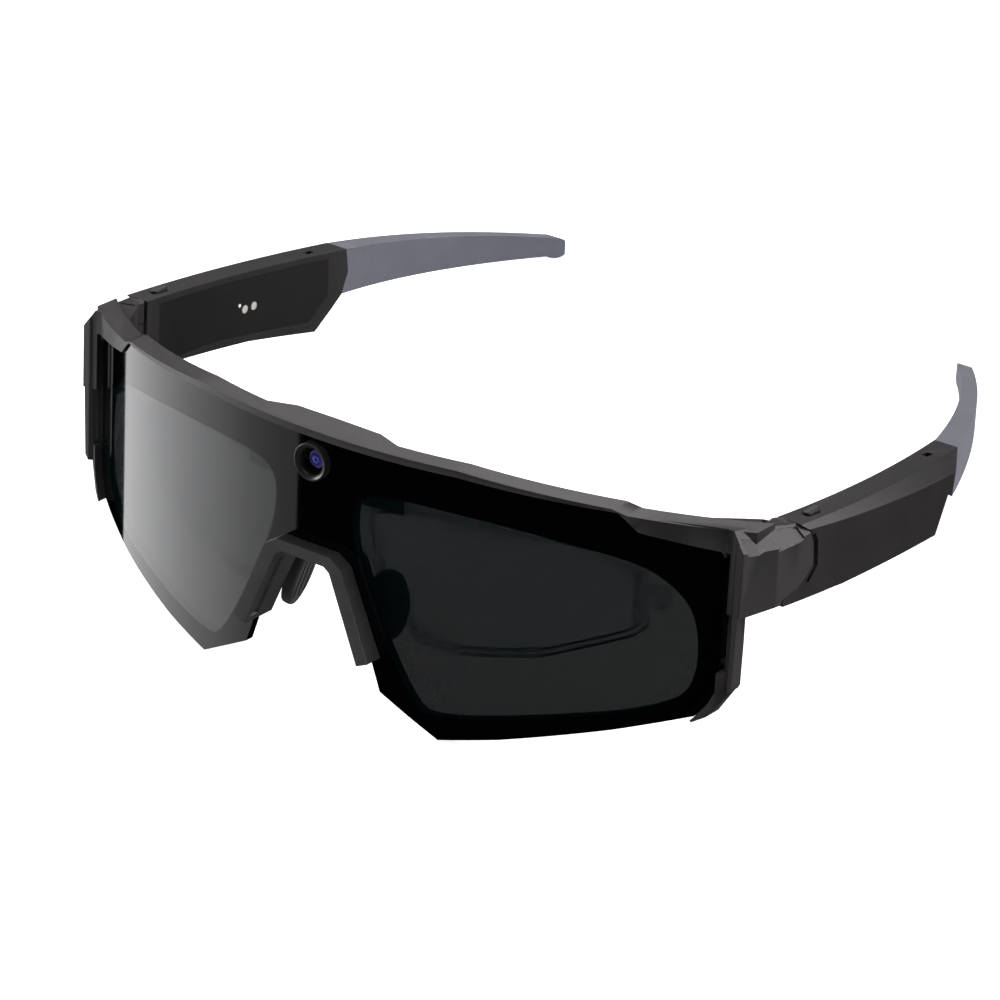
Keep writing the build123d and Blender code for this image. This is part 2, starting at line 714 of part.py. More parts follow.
def make_temple():
    """The parts of the wearer's left temple, in its open position."""
    housing, cover = make_shells(temple_blank())
    leaf, leaf_room = make_leaf()
    button, button_room = make_button()
    tip, core = make_tip()
    vent_y = pocket_rear_y - 3.0
    vent_x = inner_x(vent_y)
    vent = box_between((vent_x + 1.6, vent_y - 1.2, temple_top(vent_y) - 4), (vent_x + 2.9, vent_y + 1.0, 5))
    return {
        "temple_housing": housing - leaf_room - button_room - vent - core,
        "temple_cover": cover,
        "hinge_leaf": leaf,
        "circuit_board": floor_box(board_start, board_length, 9.0, board_thickness, rise=-0.2),
        "battery": floor_box(battery_start, battery_length, battery_height, battery_thickness, rise=-0.1),
        "speaker": floor_box(speaker_start, speaker_length, 6.4, 2.4, rise=0.8),
        "button_switch": floor_box(board_start + 1.2, 3.0, 1.8, 1.6, rise=4.5, lift=board_thickness),
        "side_button": button,
        "temple_tip": tip,
        "tip_core": core,
    }


def stadium(length, width, z_from, z_to):
    face = Plane.XY.offset(z_from) * Pos(button_x, button_y) * Rot(Z=90) * SlotOverall(length, width)
    return extrude(face, amount=z_to - z_from)


def tip_point(turn, side, thickness):
    """A point on the tip's plan: turn is the heading so far, side is -1 inside, 0 middle, 1 outside."""
    heading0 = radians(tip_heading)
    heading = heading0 + radians(turn)
    mid_x = (crest_x(temple_rear) + inner_x(temple_rear)) / 2
    x = mid_x - tip_radius * (cos(heading0) - cos(heading))
    y = temple_rear + tip_radius * (sin(heading) - sin(heading0))
    return (x + side * thickness / 2 * cos(heading), y + side * thickness / 2 * sin(heading))


def tip_plan(thickness, start_turn, end_turn):
    """Plan of the tip between two headings; thickness is at the start, the middle and the end."""
    turns = (start_turn, (start_turn + end_turn) / 2, end_turn)
    outer = ThreePointArc(*[tip_point(a, 1, t) for a, t in zip(turns, thickness)])
    inner = ThreePointArc(*[tip_point(a, -1, t) for a, t in zip(turns, thickness)][::-1])
    return make_face([outer, Line(outer @ 1, inner @ 0), inner, Line(inner @ 1, outer @ 0)])


def make_tip():
    root_thickness = crest_x(temple_rear) - inner_x(temple_rear)
    thickness = (root_thickness, tip_mid_thickness, tip_end_thickness)
    band = extrude(Plane.XY.offset(-30) * tip_plan(thickness, -1.5, tip_turn), amount=40)
    y_end = tip_point(tip_turn, 0, 0)[1] - 0.2
    top = ThreePointArc((temple_rear, temple_top_rear), (temple_rear + 24.2, -3.6), (y_end - 2.2, -6.0))
    nose = ThreePointArc(top @ 1, (y_end, -8.0), (y_end - 3.6, -10.0))
    waist = [(temple_rear + 26.0, -10.4), (temple_rear + 12.0, -10.8)]
    under = Spline(nose @ 1, *waist, (temple_rear - 1.0, temple_top_rear - 9.6))
    front = Polyline(under @ 1, (temple_rear + 0.6, temple_top_rear - 5.0), top @ 0)
    side = extrude(Plane.YZ.offset(30) * make_face([top, nose, under, front]), amount=60)
    tip = band & side
    core_start = -core_anchor / tip_radius * 180 / pi
    core_plan = tip_plan([core_thickness] * 3, core_start, tip_turn - 4)
    strip = extrude(Plane.XY.offset(-30) * core_plan, amount=40)
    y_a, y_b = temple_rear - 12.0, y_end - 6.0
    top_a, top_b = -5.6, -6.9
    core_points = [(y_a, top_a), (y_b, top_b), (y_b, top_b - core_height), (y_a, top_a - core_height)]
    core_side = side_prism(core_points, 30, 90)
    core = strip & core_side
    return tip - core, core


def make_hinge_screw():
    shank = z_cylinder(hinge_x, hinge_y, pin_radius, lug_shelf + 0.3, tongue_top + 2.2)
    head = z_cylinder(hinge_x, hinge_y, 2 * pin_radius, lug_shelf, lug_shelf + 0.8)
    drive = Pos(hinge_x, hinge_y, lug_shelf) * Box(2.0, 0.35, 0.5)
    return shank + head - drive


def make_charging_parts(cover):
    """The flush charging contacts and the status light in one temple cover."""
    x = inner_x(contact_y)

    def disc(y, z, radius):
        return rod(Plane(origin=(x, y, z), z_dir=(1, 0, 0)), radius, 0.75)

    contacts = [disc(contact_y + step, contact_z, 0.85) for step in (-1.3, 1.3)]
    light = disc(contact_y - 2.9, contact_z + 1.2, 0.35)
    return cover - contacts[0] - contacts[1] - light, contacts, light


# ---------------------------------------------------------------- assembly
def build_nodes():
    shield = make_shield()
    nodes = {"front_frame": make_front_frame(), "shield_lens": shield}
    nodes.update(make_camera_parts())
    nodes["nose_trim"] = make_nose_trim(shield)
    pad = make_nose_pad()
    nodes["nose_pad_left"] = pad
    nodes["nose_pad_right"] = mirrored(pad)
    carrier, rx_lens = make_carrier()
    nodes["rx_carrier"] = carrier
    nodes["rx_lens_left"] = rx_lens
    nodes["rx_lens_right"] = mirrored(rx_lens)
    screw = make_hinge_screw()
    nodes["hinge_screw_left"] = screw
    nodes["hinge_screw_right"] = mirrored(screw)
    temple = make_temple()
    for name, shape in temple.items():
        nodes[name + "_left"] = shape
        nodes[name + "_right"] = mirrored(shape)
    cover, contacts, light = make_charging_parts(temple["temple_cover"])
    nodes["temple_cover_right"] = mirrored(cover)
    nodes["charging_contact_front"] = mirrored(contacts[0])
    nodes["charging_contact_rear"] = mirrored(contacts[1])
    nodes["status_light"] = mirrored(light)
    return nodes


def rest_tilt(nodes):
    """Degrees to tip back so that the shield's lower corners and the tips touch one table."""
    chin_y = wrap_y(chin_x, shield_radius - shield_thickness)
    tip_edges = nodes["temple_tip_left"].edges()
    samples = [edge @ (k / 8) for edge in tip_edges for k in range(9)]
    return min(degrees(atan2(p.Z - chin_z, p.Y - chin_y)) for p in samples)


def place_on_table(nodes):
    turn = Rot(X=-rest_tilt(nodes))
    turned = {name: turn * shape for name, shape in nodes.items()}
    box = Compound(children=[Compound(shape.wrapped) for shape in turned.values()]).bounding_box(optimal=True)
    shift = Pos(-box.center().X, -box.center().Y, -box.min.Z)
    return {name: shift * shape for name, shape in turned.items()}, shift * turn


def main():
    nodes, placement = place_on_table(build_nodes())
    os.makedirs("parts", exist_ok=True)
    for name, shape in nodes.items():
        export_step(shape, f"parts/{name}.step")
    return nodes, placement


main()
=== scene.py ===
"""Looks of the camera sunglasses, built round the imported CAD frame.

Lengths that end in _MM are millimetres in the upright frame, where the shield stands upright, its foremost
line is at Y = 0, +X is the wearer's left and -Y is the front. place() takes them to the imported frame, in
which the glasses lie tipped back on the table, in metres.
"""
import json
import math

import bmesh
import bpy
from mathutils import Matrix, Quaternion, Vector
from mathutils.geometry import delaunay_2d_cdt


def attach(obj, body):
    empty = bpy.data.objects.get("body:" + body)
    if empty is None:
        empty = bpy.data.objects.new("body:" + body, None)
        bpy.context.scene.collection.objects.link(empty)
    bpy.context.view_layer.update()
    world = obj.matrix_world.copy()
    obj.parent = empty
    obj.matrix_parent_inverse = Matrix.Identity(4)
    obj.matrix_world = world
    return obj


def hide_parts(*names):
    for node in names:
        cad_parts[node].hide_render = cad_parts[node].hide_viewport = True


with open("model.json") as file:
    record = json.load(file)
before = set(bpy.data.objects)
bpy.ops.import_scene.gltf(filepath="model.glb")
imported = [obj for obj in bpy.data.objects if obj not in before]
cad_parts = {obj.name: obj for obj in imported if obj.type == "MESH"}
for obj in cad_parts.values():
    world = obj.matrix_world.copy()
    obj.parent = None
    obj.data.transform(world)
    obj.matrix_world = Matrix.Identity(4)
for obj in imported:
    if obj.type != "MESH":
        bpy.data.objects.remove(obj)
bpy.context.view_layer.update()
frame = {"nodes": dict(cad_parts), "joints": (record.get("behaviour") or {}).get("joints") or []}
nodes = frame["nodes"]

MM = 0.001
SIDES = ("left", "right")

# ---------------------------------------------------------------- the upright frame
HINGE_MM = Vector((74.5, 37.589, -3.2))
fold = next(j for j in frame["joints"] if j["name"] == "left_temple_fold")
up = Vector(fold["axis"]).normalized()
across = Vector((1, 0, 0))
turn = Matrix((across, up.cross(across), up)).transposed()


def place(x, y, z):
    """A point of the upright frame, in millimetres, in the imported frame, in metres."""
    return Vector(fold["pos_m"]) + turn @ ((Vector((x, y, z)) - HINGE_MM) * MM)


def aim(x, y, z):
    """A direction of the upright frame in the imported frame."""
    return (turn @ Vector((x, y, z))).normalized()


# ---------------------------------------------------------------- node graphs
class Graph:
    """A material's node tree with one Principled shader."""

    def __init__(self, name):
        self.material = bpy.data.materials.new(name)
        self.material.use_nodes = True
        self.tree = self.material.node_tree
        self.shader = self.tree.nodes["Principled BSDF"]
        self.place = self.node("ShaderNodeTexCoord").outputs["Object"]

    def node(self, kind, **settings):
        """A new node with its own properties set."""
        made = self.tree.nodes.new(kind)
        for key, value in settings.items():
            setattr(made, key, value)
        return made

    def link(self, source, target):
        self.tree.links.new(source, target)

    def set(self, **sockets):
        """Constants on the shader's sockets, named with _ for a space."""
        for key, value in sockets.items():
            self.shader.inputs[key.replace("_", " ")].default_value = value

    def noise(self, size_mm, detail=3.0, roughness=0.55, stretch=None):
        """Noise whose features are about size_mm across."""
        node = self.node("ShaderNodeTexNoise")
        node.inputs["Scale"].default_value = 1.0 / (size_mm * MM)
        node.inputs["Detail"].default_value = detail
        node.inputs["Roughness"].default_value = roughness
        place_socket = self.place
        if stretch:
            mapping = self.node("ShaderNodeMapping")
            mapping.inputs["Scale"].default_value = stretch
            self.link(self.place, mapping.inputs["Vector"])
            place_socket = mapping.outputs["Vector"]
        self.link(place_socket, node.inputs["Vector"])
        return node.outputs["Fac"]

    def ramp(self, source, stops):
        """A colour ramp over (position, colour) stops."""
        node = self.node("ShaderNodeValToRGB")
        ramp = node.color_ramp
        while len(ramp.elements) < len(stops):
            ramp.elements.new(0.5)
        for element, (position, colour) in zip(ramp.elements, stops):
            element.position = position
            element.color = (*colour, 1.0)
        self.link(source, node.inputs["Fac"])
        return node.outputs["Color"]

    def remap(self, source, low, high, to_low, to_high):
        """Takes low..high to to_low..to_high."""
        node = self.node("ShaderNodeMapRange")
        for key, value in (("From Min", low), ("From Max", high), ("To Min", to_low), ("To Max", to_high)):
            node.inputs[key].default_value = value
        self.link(source, node.inputs["Value"])
        return node.outputs["Result"]

    def mix(self, factor, first, second):
        """Colour first where factor is 0 and second where it is 1."""
        node = self.node("ShaderNodeMix", data_type="RGBA")
        self.link(factor, node.inputs["Factor"])
        for socket, value in ((node.inputs["A"], first), (node.inputs["B"], second)):
            if isinstance(value, bpy.types.NodeSocket):
                self.link(value, socket)
            else:
                socket.default_value = (*value, 1.0)
        return node.outputs["Result"]

    def edges(self, low=0.515, high=0.60):
        """1 on convex edges and 0 on flat faces."""
        geometry = self.node("ShaderNodeNewGeometry")
        return self.remap(geometry.outputs["Pointiness"], low, high, 0.0, 1.0)

    def bump(self, height, depth_mm, strength, below=None):
        """Relief of depth_mm, laid over the normal of a coarser relief where one is given."""
        node = self.node("ShaderNodeBump")
        node.inputs["Distance"].default_value = depth_mm * MM
        node.inputs["Strength"].default_value = strength
        self.link(height, node.inputs["Height"])
        if below:
            self.link(below, node.inputs["Normal"])
        return node.outputs["Normal"]

    def out(self, **sockets):
        """Links into the shader's sockets, named with _ for a space."""
        for key, value in sockets.items():
            self.link(value, self.shader.inputs[key.replace("_", " ")])


def scaled(colour, factor):
    return tuple(c * factor for c in colour)


# ---------------------------------------------------------------- materials
CAMERA_Z_MM = 4.6          # height of the camera's axis
LENS_CENTRE_MM = 0.3       # depth at which the lens's painted reflection rings are centred
PAINTED_RINGS_RADIUS_MM = 2.2


def moulded(name, colour, rough, grain_mm=0.35, grain_depth_mm=0.02, edge_highlight=1.9, vary=0.07):
    """Injection-moulded plastic: spark-eroded grain, slow shade changes and a painted highlight that lightens
    its convex edges.
    """
    g = Graph(name)
    cloud = g.noise(9.0, detail=4.0)
    shade = g.ramp(cloud, [(0.30, scaled(colour, 0.82)), (0.55, colour), (0.80, scaled(colour, 1.16))])
    # A painted highlight: convex edges are given a lighter colour, as if lit.
    painted_highlight = g.mix(g.edges(), shade, scaled(colour, edge_highlight)) if edge_highlight > 1 else shade
    grain = g.noise(grain_mm, detail=2.0)
    slow = g.bump(cloud, 0.02, 0.4)
    g.out(Base_Color=painted_highlight, Roughness=g.remap(grain, 0.3, 0.7, rough - vary, rough + vary),
          Normal=g.bump(grain, grain_depth_mm, 0.6, slow))
    g.set(IOR=1.46)
    return g.material


def rubber(name, colour, rough=0.62):
    """Soft-touch rubber: a powdery bloom, fine grain, a soft sheen and a painted highlight on its convex
    edges.
    """
    g = Graph(name)
    bloom = g.noise(5.0, detail=5.0)
    shade = g.ramp(bloom, [(0.3, scaled(colour, 0.90)), (0.6, colour), (0.85, scaled(colour, 1.12))])
    grain = g.noise(0.22, detail=3.0)
    # A painted highlight: convex edges are given a lighter colour, as if lit.
    g.out(Base_Color=g.mix(g.edges(0.52, 0.68), shade, scaled(colour, 1.3)),
          Roughness=g.remap(grain, 0.3, 0.7, rough - 0.08, rough + 0.08), Normal=g.bump(grain, 0.015, 0.5))
    g.set(Sheen_Weight=0.12, Sheen_Roughness=0.5, IOR=1.5)
    return g.material


def metal(name, colour, rough):
    """Drawn metal with fine streaks."""
    g = Graph(name)
    streaks = g.noise(0.25, detail=3.0, stretch=(1, 1, 14))
    g.out(Base_Color=g.ramp(streaks, [(0.3, scaled(colour, 0.85)), (0.7, colour)]),
          Roughness=g.remap(streaks, 0.3, 0.7, rough - 0.08, rough + 0.10), Normal=g.bump(streaks, 0.006, 0.5))
    g.set(Metallic=1.0)
    return g.material


def polished(name, colour, rough=0.04, alpha=1.0, ior=1.5):
    """Polished plastic or glass with faint wiping marks in its gloss."""
    g = Graph(name)
    haze = g.noise(14.0, detail=6.0, roughness=0.65)
    g.out(Base_Color=g.ramp(haze, [(0.2, scaled(colour, 0.9)), (0.8, scaled(colour, 1.1))]),
          Roughness=g.remap(haze, 0.35, 0.75, rough, rough + 0.035), Normal=g.bump(haze, 0.004, 0.25))
    g.set(IOR=ior, Alpha=alpha)
    return g.material


def board(name):
    """Solder mask over copper tracks."""
    g = Graph(name)
    tracks = g.node("ShaderNodeTexBrick", offset=0.4)
    for key, value in (("Scale", 520.0), ("Mortar Size", 0.03)):
        tracks.inputs[key].default_value = value
    tracks.inputs["Color1"].default_value = (0.01, 0.06, 0.035, 1)
    tracks.inputs["Color2"].default_value = (0.012, 0.075, 0.045, 1)
    tracks.inputs["Mortar"].default_value = (0.03, 0.16, 0.09, 1)
    g.link(g.place, tracks.inputs["Vector"])
    g.out(Base_Color=tracks.outputs["Color"], Roughness=g.remap(g.noise(0.5), 0.3, 0.7, 0.25, 0.4),
          Normal=g.bump(tracks.outputs["Fac"], 0.03, 0.4))
    return g.material


def lens_with_painted_reflections(name):
    """A camera lens: a bright blue ring and a violet ring round it, painted reflections of its coating, and a
    dark rim.
    """
    g = Graph(name)
    offset = g.node("ShaderNodeVectorMath", operation="DISTANCE")
    g.link(g.place, offset.inputs[0])
    offset.inputs[1].default_value = place(0, LENS_CENTRE_MM, CAMERA_Z_MM)
    radius = g.remap(offset.outputs["Value"], 0.0, PAINTED_RINGS_RADIUS_MM * MM, 0.0, 1.0)
    uneven = g.node("ShaderNodeMath", operation="MULTIPLY_ADD")
    g.link(g.noise(1.3), uneven.inputs[0])
    uneven.inputs[1].default_value = 0.16
    g.link(radius, uneven.inputs[2])
    # The bright blue ring at 0.36 and the violet ring at 0.76 are painted reflections of the lens coating.
    rings = [(0.08, (0.004, 0.004, 0.02)), (0.26, (0.01, 0.012, 0.07)), (0.36, (0.10, 0.12, 0.50)),
             (0.45, (0.02, 0.025, 0.16)), (0.62, (0.05, 0.05, 0.30)), (0.76, (0.22, 0.14, 0.42)),
             (0.88, (0.02, 0.015, 0.05)), (1.0, (0.004, 0.004, 0.006))]
    g.out(Base_Color=g.ramp(uneven.outputs["Value"], rings),
          Roughness=g.remap(g.noise(2.0), 0.3, 0.7, 0.03, 0.08))
    g.set(IOR=1.6, Coat_Weight=1.0, Coat_Roughness=0.03)
    return g.material


def rimmed(name, colour, face_alpha, edge_alpha, rough=0.06):
    """Clear moulded plastic that darkens where it is seen edge on."""
    g = Graph(name)
    facing = g.node("ShaderNodeLayerWeight")
    facing.inputs["Blend"].default_value = 0.5
    haze = g.noise(6.0, detail=5.0)
    g.out(Base_Color=g.ramp(haze, [(0.3, scaled(colour, 0.8)), (0.7, colour)]),
          Roughness=g.remap(haze, 0.3, 0.7, rough, rough + 0.06),
          Alpha=g.remap(facing.outputs["Facing"], 0.45, 0.80, face_alpha, edge_alpha))
    g.set(IOR=1.5)
    return g.material


frame_black = moulded("frame_black", (0.017, 0.0157, 0.0168), 0.40, grain_depth_mm=0.008)
cover_black = moulded("cover_black", (0.0045, 0.0042, 0.0044), 0.50, grain_mm=0.25, grain_depth_mm=0.006,
                      edge_highlight=1.0)
trim_black = moulded("trim_black", (0.034, 0.033, 0.034), 0.32, grain_mm=4.0, grain_depth_mm=0.002,
                     edge_highlight=1.0, vary=0.03)
ring_black = moulded("ring_black", (0.013, 0.013, 0.014), 0.34, grain_mm=2.0, grain_depth_mm=0.002,
                     edge_highlight=1.0, vary=0.03)
inner_black = moulded("inner_black", (0.006, 0.006, 0.006), 0.7)
tip_grey = rubber("tip_grey", (0.105, 0.110, 0.140))
pad_black = rubber("pad_black", (0.016, 0.016, 0.017), 0.5)
print_black = polished("print_black", (0.0007, 0.0007, 0.0008))
window_smoke = polished("window_smoke", (0.0012, 0.0030, 0.0035), alpha=0.898, ior=1.80)
clear_plastic = rimmed("clear_plastic", (0.012, 0.014, 0.015), 0.10, 0.95)
clear_glass = rimmed("clear_glass", (0.02, 0.025, 0.026), 0.03, 0.5, 0.02)
steel = metal("steel", (0.56, 0.55, 0.54), 0.28)
nickel = polished("nickel", (0.42, 0.41, 0.40), 0.45)
foil = metal("foil", (0.55, 0.55, 0.57), 0.35)
light_white = polished("light_white", (0.75, 0.75, 0.73), 0.25)
mask_green = board("mask_green")
lens_painted_reflections = lens_with_painted_reflections("lens_painted_reflections")


# ---------------------------------------------------------------- CAD nodes that stay
WELD_DISTANCE = 1e-6       # metres
SAME_PLANE_DEGREES = 0.6   # faces that turn less than this become one
EDGE_DEGREES = 24          # edges that turn more than this are rounded


def finish_node(name, material, edge_mm=0.0, segments=2, join_faces=True):
    """Gives a CAD node its material and, with edge_mm, small rounded edges."""
    piece = nodes[name]
    piece.data.materials.clear()
    piece.data.materials.append(material)
    if edge_mm:
        weld = piece.modifiers.new("weld", "WELD")
        weld.merge_threshold = WELD_DISTANCE
        if join_faces:
            plane = piece.modifiers.new("planes", "DECIMATE")
            plane.decimate_type = "DISSOLVE"
            plane.angle_limit = math.radians(SAME_PLANE_DEGREES)
        bevel = piece.modifiers.new("edges", "BEVEL")
        bevel.width = edge_mm * MM
        bevel.segments = segments
        bevel.limit_method = "ANGLE"
        bevel.angle_limit = math.radians(EDGE_DEGREES)
        bevel.use_clamp_overlap = True
        normals = piece.modifiers.new("normals", "WEIGHTED_NORMAL")
        normals.keep_sharp = False


def finish_nodes():
    """Every CAD node that isn't replaced, with its material and the width of its rounded edges."""
    finish_node("front_frame", frame_black, 0.22)
    finish_node("camera_cover", cover_black, 0.15)
    finish_node("camera_ring", ring_black, 0.10, join_faces=False)
    finish_node("camera_window", clear_glass)
    finish_node("camera_board", mask_green)
    finish_node("nose_trim", trim_black, 0.20, join_faces=False)
    finish_node("rx_carrier", clear_plastic, 0.2)
    finish_node("status_light", light_white)
    for side in SIDES:
        finish_node("temple_housing_" + side, frame_black, 0.28, 3)
        finish_node("temple_cover_" + side, cover_black, 0.06)
        finish_node("side_button_" + side, frame_black)
        finish_node("temple_tip_" + side, tip_grey, 0.85, 5)
        finish_node("tip_core_" + side, steel)
        finish_node("hinge_leaf_" + side, steel)
        finish_node("hinge_screw_" + side, steel)
        finish_node("circuit_board_" + side, mask_green)
        finish_node("battery_" + side, foil, 0.3)
        finish_node("speaker_" + side, inner_black, 0.2)
        finish_node("button_switch_" + side, inner_black)
        finish_node("nose_pad_" + side, pad_black)
        finish_node("rx_lens_" + side, clear_glass)


# ---------------------------------------------------------------- shield
RADIUS_MM = 115.0          # of the cylinder that the shield's front follows
THICKNESS_MM = 1.8
HALF_WIDTH_MM = 72.2
CAMERA_HOLE_MM = 3.6       # radius
OUTLINE_STEP_MM = 2.0
GRID_STEP_MM = 2.5
GRID_LOW_MM = (-HALF_WIDTH_MM, -44)
GRID_HIGH_MM = (HALF_WIDTH_MM, 10)
CURVED_COSINE = 0.9        # a face that looks along the radius by this much is a curved one

# Half of the shield's outline and one of its two windows, from the front, as (X, Z)
SHIELD_HALF_MM = [(0, 9.0), (28.9, 8.9), (56.3, 6.8), (59.6, 3.4), (71.7, 0.6), (72.2, -0.6), (72.2, -26.0),
                  (71.3, -28.6), (69.0, -31.9), (57.0, -35.7), (38.3, -40.9), (27.4, -43.4), (15.6, -36.8),
                  (7.8, -14.3), (5.6, -12.9), (0, -12.9)]
WINDOW_MM = [(12.6, 1.3), (21.0, 2.0), (35.7, 1.4), (48.5, -0.3), (60.3, -2.7), (66.4, -8.0), (68.8, -13.7),
             (69.2, -22.6), (67.4, -28.3), (60.0, -31.8), (47.4, -34.6), (27.0, -39.2), (22.0, -37.8),
             (10.7, -15.0), (8.7, -6.5), (9.2, -1.0)]


def wrap_y(x, radius):
    """Y at X on a cylinder of this radius round the shield's axis."""
    return RADIUS_MM - math.sqrt(radius * radius - x * x)


def rounded(loop, rounds=3):
    """The closed loop with its corners cut again and again."""
    for _ in range(rounds):
        cut = []
        for a, b in zip(loop, loop[1:] + loop[:1]):
            cut.append((0.75 * a[0] + 0.25 * b[0], 0.75 * a[1] + 0.25 * b[1]))
            cut.append((0.25 * a[0] + 0.75 * b[0], 0.25 * a[1] + 0.75 * b[1]))
        loop = cut
    return loop


def divided(loop, step):
    """The closed loop with no edge longer than step."""
    points = []
    for a, b in zip(loop, loop[1:] + loop[:1]):
        parts = max(1, math.ceil(math.dist(a, b) / step))
        points += [(a[0] + (b[0] - a[0]) * k / parts, a[1] + (b[1] - a[1]) * k / parts) for k in range(parts)]
    return points


def circle(z, radius, count):
    """A closed ring of points round height z on the middle line."""
    return [(radius * math.cos(math.tau * k / count), z + radius * math.sin(math.tau * k / count))
            for k in range(count)]


def inside(point, loop):
    """Whether the point is inside the closed loop."""
    x, z = point
    hit = False
    for (xa, za), (xb, zb) in zip(loop, loop[1:] + loop[:1]):
        if (za > z) != (zb > z) and x < xa + (z - za) * (xb - xa) / (zb - za):
            hit = not hit
    return hit


def flat_pattern(loops, low, high, step):
    """Triangles over all the loops, with a regular grid of points between them."""
    points, edges = [], []
    for loop in loops:
        first = len(points)
        points += loop
        edges += [(first + k, first + (k + 1) % len(loop)) for k in range(len(loop))]
    for i in range(int((high[0] - low[0]) / step)):
        for j in range(int((high[1] - low[1]) / step)):
            points.append((low[0] + (i + 0.5) * step, low[1] + (j + 0.5) * step))
    made = delaunay_2d_cdt([Vector(p) for p in points], edges, [], 0, 1e-5)
    return [tuple(v) for v in made[0]], made[2]


def shield_pattern():
    """The flat pattern's points, and its faces as (corners, tint), where tint is 1 in the windows."""
    half = SHIELD_HALF_MM
    outline = divided(half + [(-x, z) for x, z in reversed(half) if x > 0], OUTLINE_STEP_MM)
    window = divided(rounded(WINDOW_MM), OUTLINE_STEP_MM)
    other_window = [(-x, z) for x, z in reversed(window)]
    hole = circle(CAMERA_Z_MM, CAMERA_HOLE_MM, 48)
    loops = [outline, window, other_window, hole]
    points, faces = flat_pattern(loops, GRID_LOW_MM, GRID_HIGH_MM, GRID_STEP_MM)
    kept = []
    for face in faces:
        middle = tuple(sum(points[k][i] for k in face) / len(face) for i in (0, 1))
        if inside(middle, outline) and not inside(middle, hole):
            kept.append((face, 1 if inside(middle, window) or inside(middle, other_window) else 0))
    return points, kept


def make_shield():
    """One curved lens: its border is printed black and its two windows are smoke-tinted."""
    points, faces = shield_pattern()
    mesh = bpy.data.meshes.new("shield_glass")
    bm = bmesh.new()
    rear_radius = RADIUS_MM - THICKNESS_MM
    front = [bm.verts.new(place(x, wrap_y(x, RADIUS_MM), z)) for x, z in points]
    rear = [bm.verts.new(place(x, wrap_y(x, rear_radius), z)) for x, z in points]
    used = {}
    for face, tint in faces:
        for verts, order in ((front, 1), (rear, -1)):
            bm.faces.new([verts[k] for k in face][::order]).material_index = tint
        for a, b in zip(face, face[1:] + face[:1]):
            used[(a, b)] = True
    for a, b in used:
        if (b, a) not in used:
            bm.faces.new([front[b], front[a], rear[a], rear[b]])
    loose = [v for v in bm.verts if not v.link_faces]
    bmesh.ops.delete(bm, geom=loose, context="VERTS")
    bmesh.ops.recalc_face_normals(bm, faces=bm.faces)
    bm.to_mesh(mesh)
    bm.free()
    for material in (print_black, window_smoke):
        mesh.materials.append(material)
    smooth_wrap(mesh)
    piece = bpy.data.objects.new("shield_glass", mesh)
    bpy.context.scene.collection.objects.link(piece)
    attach(piece, "front")
    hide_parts("shield_lens")


def smooth_wrap(mesh):
    """Gives the shield's two curved faces the normals of the true cylinder."""
    axis_point = place(0, RADIUS_MM, 0)
    normals = []
    for face in mesh.polygons:
        face.use_smooth = True
        outward = face.center - axis_point
        outward -= up * outward.dot(up)
        facing = face.normal.dot(outward.normalized())
        for index in face.loop_indices:
            radial = mesh.vertices[mesh.loops[index].vertex_index].co - axis_point
            radial -= up * radial.dot(up)
            curved = radial.normalized() * (1 if facing > 0 else -1)
            normals.append(curved if abs(facing) > CURVED_COSINE else face.normal.copy())
    mesh.normals_split_custom_set(normals)


# ---------------------------------------------------------------- turned pieces
AROUND = 64                # points round a turned piece
SHARP_DEGREES = 30


def camera_point(side, rise, depth):
    """A point beside and above the camera's axis, at a depth behind the shield's foremost line."""
    return place(side, depth, CAMERA_Z_MM + rise)


def lathe(name, profile, material, replaced, body="front", point=camera_point):
    """A turned piece; the profile is (radius, depth) in millimetres, and point() puts it on its axis."""
    mesh = bpy.data.meshes.new(name)
    bm = bmesh.new()
    rings = []
    for radius, depth in profile:
        if radius == 0:
            rings.append([bm.verts.new(point(0, 0, depth))])
            continue
        turns = [math.tau * k / AROUND for k in range(AROUND)]
        rings.append([bm.verts.new(point(radius * math.cos(a), radius * math.sin(a), depth)) for a in turns])
    for inner, outer in zip(rings, rings[1:]):
        for k in range(AROUND):
            corners = [inner[k % len(inner)], outer[k % len(outer)], outer[(k + 1) % len(outer)],
                       inner[(k + 1) % len(inner)]]
            corners = list(dict.fromkeys(corners))
            if len(corners) > 2:
                bm.faces.new(corners)
    bmesh.ops.recalc_face_normals(bm, faces=bm.faces)
    bm.to_mesh(mesh)
    bm.free()
    for face in mesh.polygons:
        face.use_smooth = True
    mesh.set_sharp_from_angle(angle=math.radians(SHARP_DEGREES))
    mesh.materials.append(material)
    piece = bpy.data.objects.new(name, mesh)
    bpy.context.scene.collection.objects.link(piece)
    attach(piece, body)
    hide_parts(replaced)


# ---------------------------------------------------------------- camera optics
LENS_RADIUS_MM = 2.15
LENS_TOP_MM = 0.05         # depth of the dome's crown
LENS_RISE_MM = 0.80
LENS_RIM_MM = 0.4          # thickness behind the dome
LENS_FIT_MM = 0.02         # gap round the lens
DOME_STEPS = 12
MOUTH_RADIUS_MM = 2.75
MOUTH_FRONT_MM = 0.55
MOUTH_REAR_MM = 4.6
STEP_DEPTH_MM = 0.22
STEP_WIDTH_MM = 0.20


def dome(radius, top, rise):
    """The profile of a dome that bulges forward by rise, closed at its flat back."""
    ball = (radius ** 2 + rise ** 2) / (2 * rise)
    widest = math.asin(radius / ball)
    angles = [widest * k / DOME_STEPS for k in range(DOME_STEPS + 1)]
    cap = [(ball * math.sin(angle), top + ball * (1 - math.cos(angle))) for angle in angles]
    back = top + rise + LENS_RIM_MM
    return [(0, top)] + cap[1:] + [(radius, back), (0, back)]


